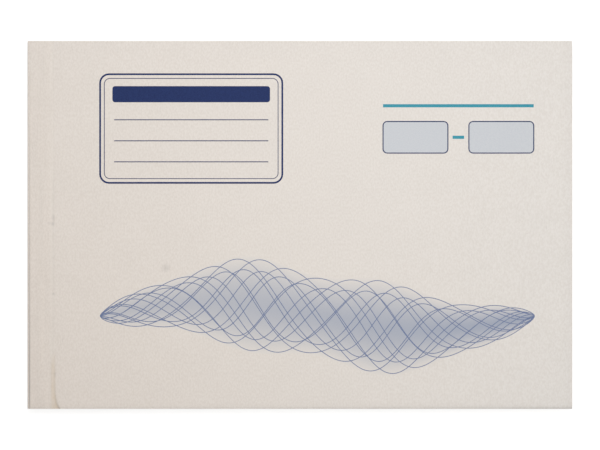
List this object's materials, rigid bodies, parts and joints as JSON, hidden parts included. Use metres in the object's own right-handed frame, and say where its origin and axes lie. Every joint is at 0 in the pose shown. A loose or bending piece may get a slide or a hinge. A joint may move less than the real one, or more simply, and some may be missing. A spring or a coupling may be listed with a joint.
{
  "type": "receipt pad",
  "caption": "Landscape pad of perforated receipts, stapled through the stubs on a stiff board, in a creased wrap-round card cover whose front panel and leaves turn at the spine.",
  "frame": {"origin": "middle of the underside of the back panel, where the pad rests on a table", "axes": "+X from the spine to the fore edge, +Y to the head of the page, +Z out of the front cover"},
  "size_m": [0.1554, 0.105, 0.0107],
  "materials": {
    "cover_card": "matte",
    "receipt_paper": "matte",
    "grey_board": "matte",
    "binding_glue": "satin",
    "steel_wire": "satin"
  },
  "bodies": {
    "root": {"cover_wrap": "cover_card", "back_board": "grey_board", "spine_adhesive": "binding_glue", "strip_adhesive": "binding_glue", "staple_upper": "steel_wire", "staple_lower": "steel_wire", "receipt_001_stub": "receipt_paper", "receipt_002_stub": "receipt_paper", "receipt_003_stub": "receipt_paper", "receipt_004_stub": "receipt_paper", "receipt_005_stub": "receipt_paper", "receipt_006_stub": "receipt_paper", "receipt_007_stub": "receipt_paper", "receipt_008_stub": "receipt_paper", "receipt_009_stub": "receipt_paper", "receipt_010_stub": "receipt_paper", "receipts_011_020_stub": "receipt_paper", "receipts_021_030_stub": "receipt_paper", "receipts_031_040_stub": "receipt_paper", "receipts_041_050_stub": "receipt_paper", "receipts_051_060_stub": "receipt_paper", "receipts_061_070_stub": "receipt_paper", "receipts_071_080_stub": "receipt_paper", "receipts_081_090_stub": "receipt_paper", "receipts_091_100_stub": "receipt_paper"},
    "pack_091_100": {"receipts_091_100": "receipt_paper"},
    "pack_081_090": {"receipts_081_090": "receipt_paper"},
    "pack_071_080": {"receipts_071_080": "receipt_paper"},
    "pack_061_070": {"receipts_061_070": "receipt_paper"},
    "pack_051_060": {"receipts_051_060": "receipt_paper"},
    "pack_041_050": {"receipts_041_050": "receipt_paper"},
    "pack_031_040": {"receipts_031_040": "receipt_paper"},
    "pack_021_030": {"receipts_021_030": "receipt_paper"},
    "pack_011_020": {"receipts_011_020": "receipt_paper"},
    "leaf_010": {"receipt_010": "receipt_paper"},
    "leaf_009": {"receipt_009": "receipt_paper"},
    "leaf_008": {"receipt_008": "receipt_paper"},
    "leaf_007": {"receipt_007": "receipt_paper"},
    "leaf_006": {"receipt_006": "receipt_paper"},
    "leaf_005": {"receipt_005": "receipt_paper"},
    "leaf_004": {"receipt_004": "receipt_paper"},
    "leaf_003": {"receipt_003": "receipt_paper"},
    "leaf_002": {"receipt_002": "receipt_paper"},
    "leaf_001": {"receipt_001": "receipt_paper"},
    "cover": {"front_cover": "cover_card"}
  },
  "joints": [
    {"name": "pack_091_100_turn", "type": "hinge", "parent": "root", "child": "pack_091_100", "pos_m": [-0.07025, 0, 0.01076], "axis": [0, 1, 0], "range_deg": [-3, 0]},
    {"name": "pack_081_090_turn", "type": "hinge", "parent": "pack_091_100", "child": "pack_081_090", "pos_m": [-0.07025, 0, 0.01076], "axis": [0, 1, 0], "range_deg": [-3, 0]},
    {"name": "pack_071_080_turn", "type": "hinge", "parent": "pack_081_090", "child": "pack_071_080", "pos_m": [-0.07025, 0, 0.01076], "axis": [0, 1, 0], "range_deg": [-3, 0]},
    {"name": "pack_061_070_turn", "type": "hinge", "parent": "pack_071_080", "child": "pack_061_070", "pos_m": [-0.07025, 0, 0.01076], "axis": [0, 1, 0], "range_deg": [-3, 0]},
    {"name": "pack_051_060_turn", "type": "hinge", "parent": "pack_061_070", "child": "pack_051_060", "pos_m": [-0.07025, 0, 0.01076], "axis": [0, 1, 0], "range_deg": [-3, 0]},
    {"name": "pack_041_050_turn", "type": "hinge", "parent": "pack_051_060", "child": "pack_041_050", "pos_m": [-0.07025, 0, 0.01076], "axis": [0, 1, 0], "range_deg": [-3, 0]},
    {"name": "pack_031_040_turn", "type": "hinge", "parent": "pack_041_050", "child": "pack_031_040", "pos_m": [-0.07025, 0, 0.01076], "axis": [0, 1, 0], "range_deg": [-3, 0]},
    {"name": "pack_021_030_turn", "type": "hinge", "parent": "pack_031_040", "child": "pack_021_030", "pos_m": [-0.07025, 0, 0.01076], "axis": [0, 1, 0], "range_deg": [-3, 0]},
    {"name": "pack_011_020_turn", "type": "hinge", "parent": "pack_021_030", "child": "pack_011_020", "pos_m": [-0.07025, 0, 0.01076], "axis": [0, 1, 0], "range_deg": [-3, 0]},
    {"name": "leaf_010_turn", "type": "hinge", "parent": "pack_011_020", "child": "leaf_010", "pos_m": [-0.07025, 0, 0.01076], "axis": [0, 1, 0], "range_deg": [-6, 0]},
    {"name": "leaf_009_turn", "type": "hinge", "parent": "leaf_010", "child": "leaf_009", "pos_m": [-0.07025, 0, 0.01076], "axis": [0, 1, 0], "range_deg": [-6, 0]},
    {"name": "leaf_008_turn", "type": "hinge", "parent": "leaf_009", "child": "leaf_008", "pos_m": [-0.07025, 0, 0.01076], "axis": [0, 1, 0], "range_deg": [-6, 0]},
    {"name": "leaf_007_turn", "type": "hinge", "parent": "leaf_008", "child": "leaf_007", "pos_m": [-0.07025, 0, 0.01076], "axis": [0, 1, 0], "range_deg": [-6, 0]},
    {"name": "leaf_006_turn", "type": "hinge", "parent": "leaf_007", "child": "leaf_006", "pos_m": [-0.07025, 0, 0.01076], "axis": [0, 1, 0], "range_deg": [-6, 0]},
    {"name": "leaf_005_turn", "type": "hinge", "parent": "leaf_006", "child": "leaf_005", "pos_m": [-0.07025, 0, 0.01076], "axis": [0, 1, 0], "range_deg": [-6, 0]},
    {"name": "leaf_004_turn", "type": "hinge", "parent": "leaf_005", "child": "leaf_004", "pos_m": [-0.07025, 0, 0.01076], "axis": [0, 1, 0], "range_deg": [-6, 0]},
    {"name": "leaf_003_turn", "type": "hinge", "parent": "leaf_004", "child": "leaf_003", "pos_m": [-0.07025, 0, 0.01076], "axis": [0, 1, 0], "range_deg": [-6, 0]},
    {"name": "leaf_002_turn", "type": "hinge", "parent": "leaf_003", "child": "leaf_002", "pos_m": [-0.07025, 0, 0.01076], "axis": [0, 1, 0], "range_deg": [-6, 0]},
    {"name": "leaf_001_turn", "type": "hinge", "parent": "leaf_002", "child": "leaf_001", "pos_m": [-0.07025, 0, 0.01076], "axis": [0, 1, 0], "range_deg": [-90, 0]},
    {"name": "cover_turn", "type": "hinge", "parent": "leaf_001", "child": "cover", "pos_m": [-0.07025, 0, 0.01076], "axis": [0, -1, 0], "range_deg": [0, 180]}
  ]
}
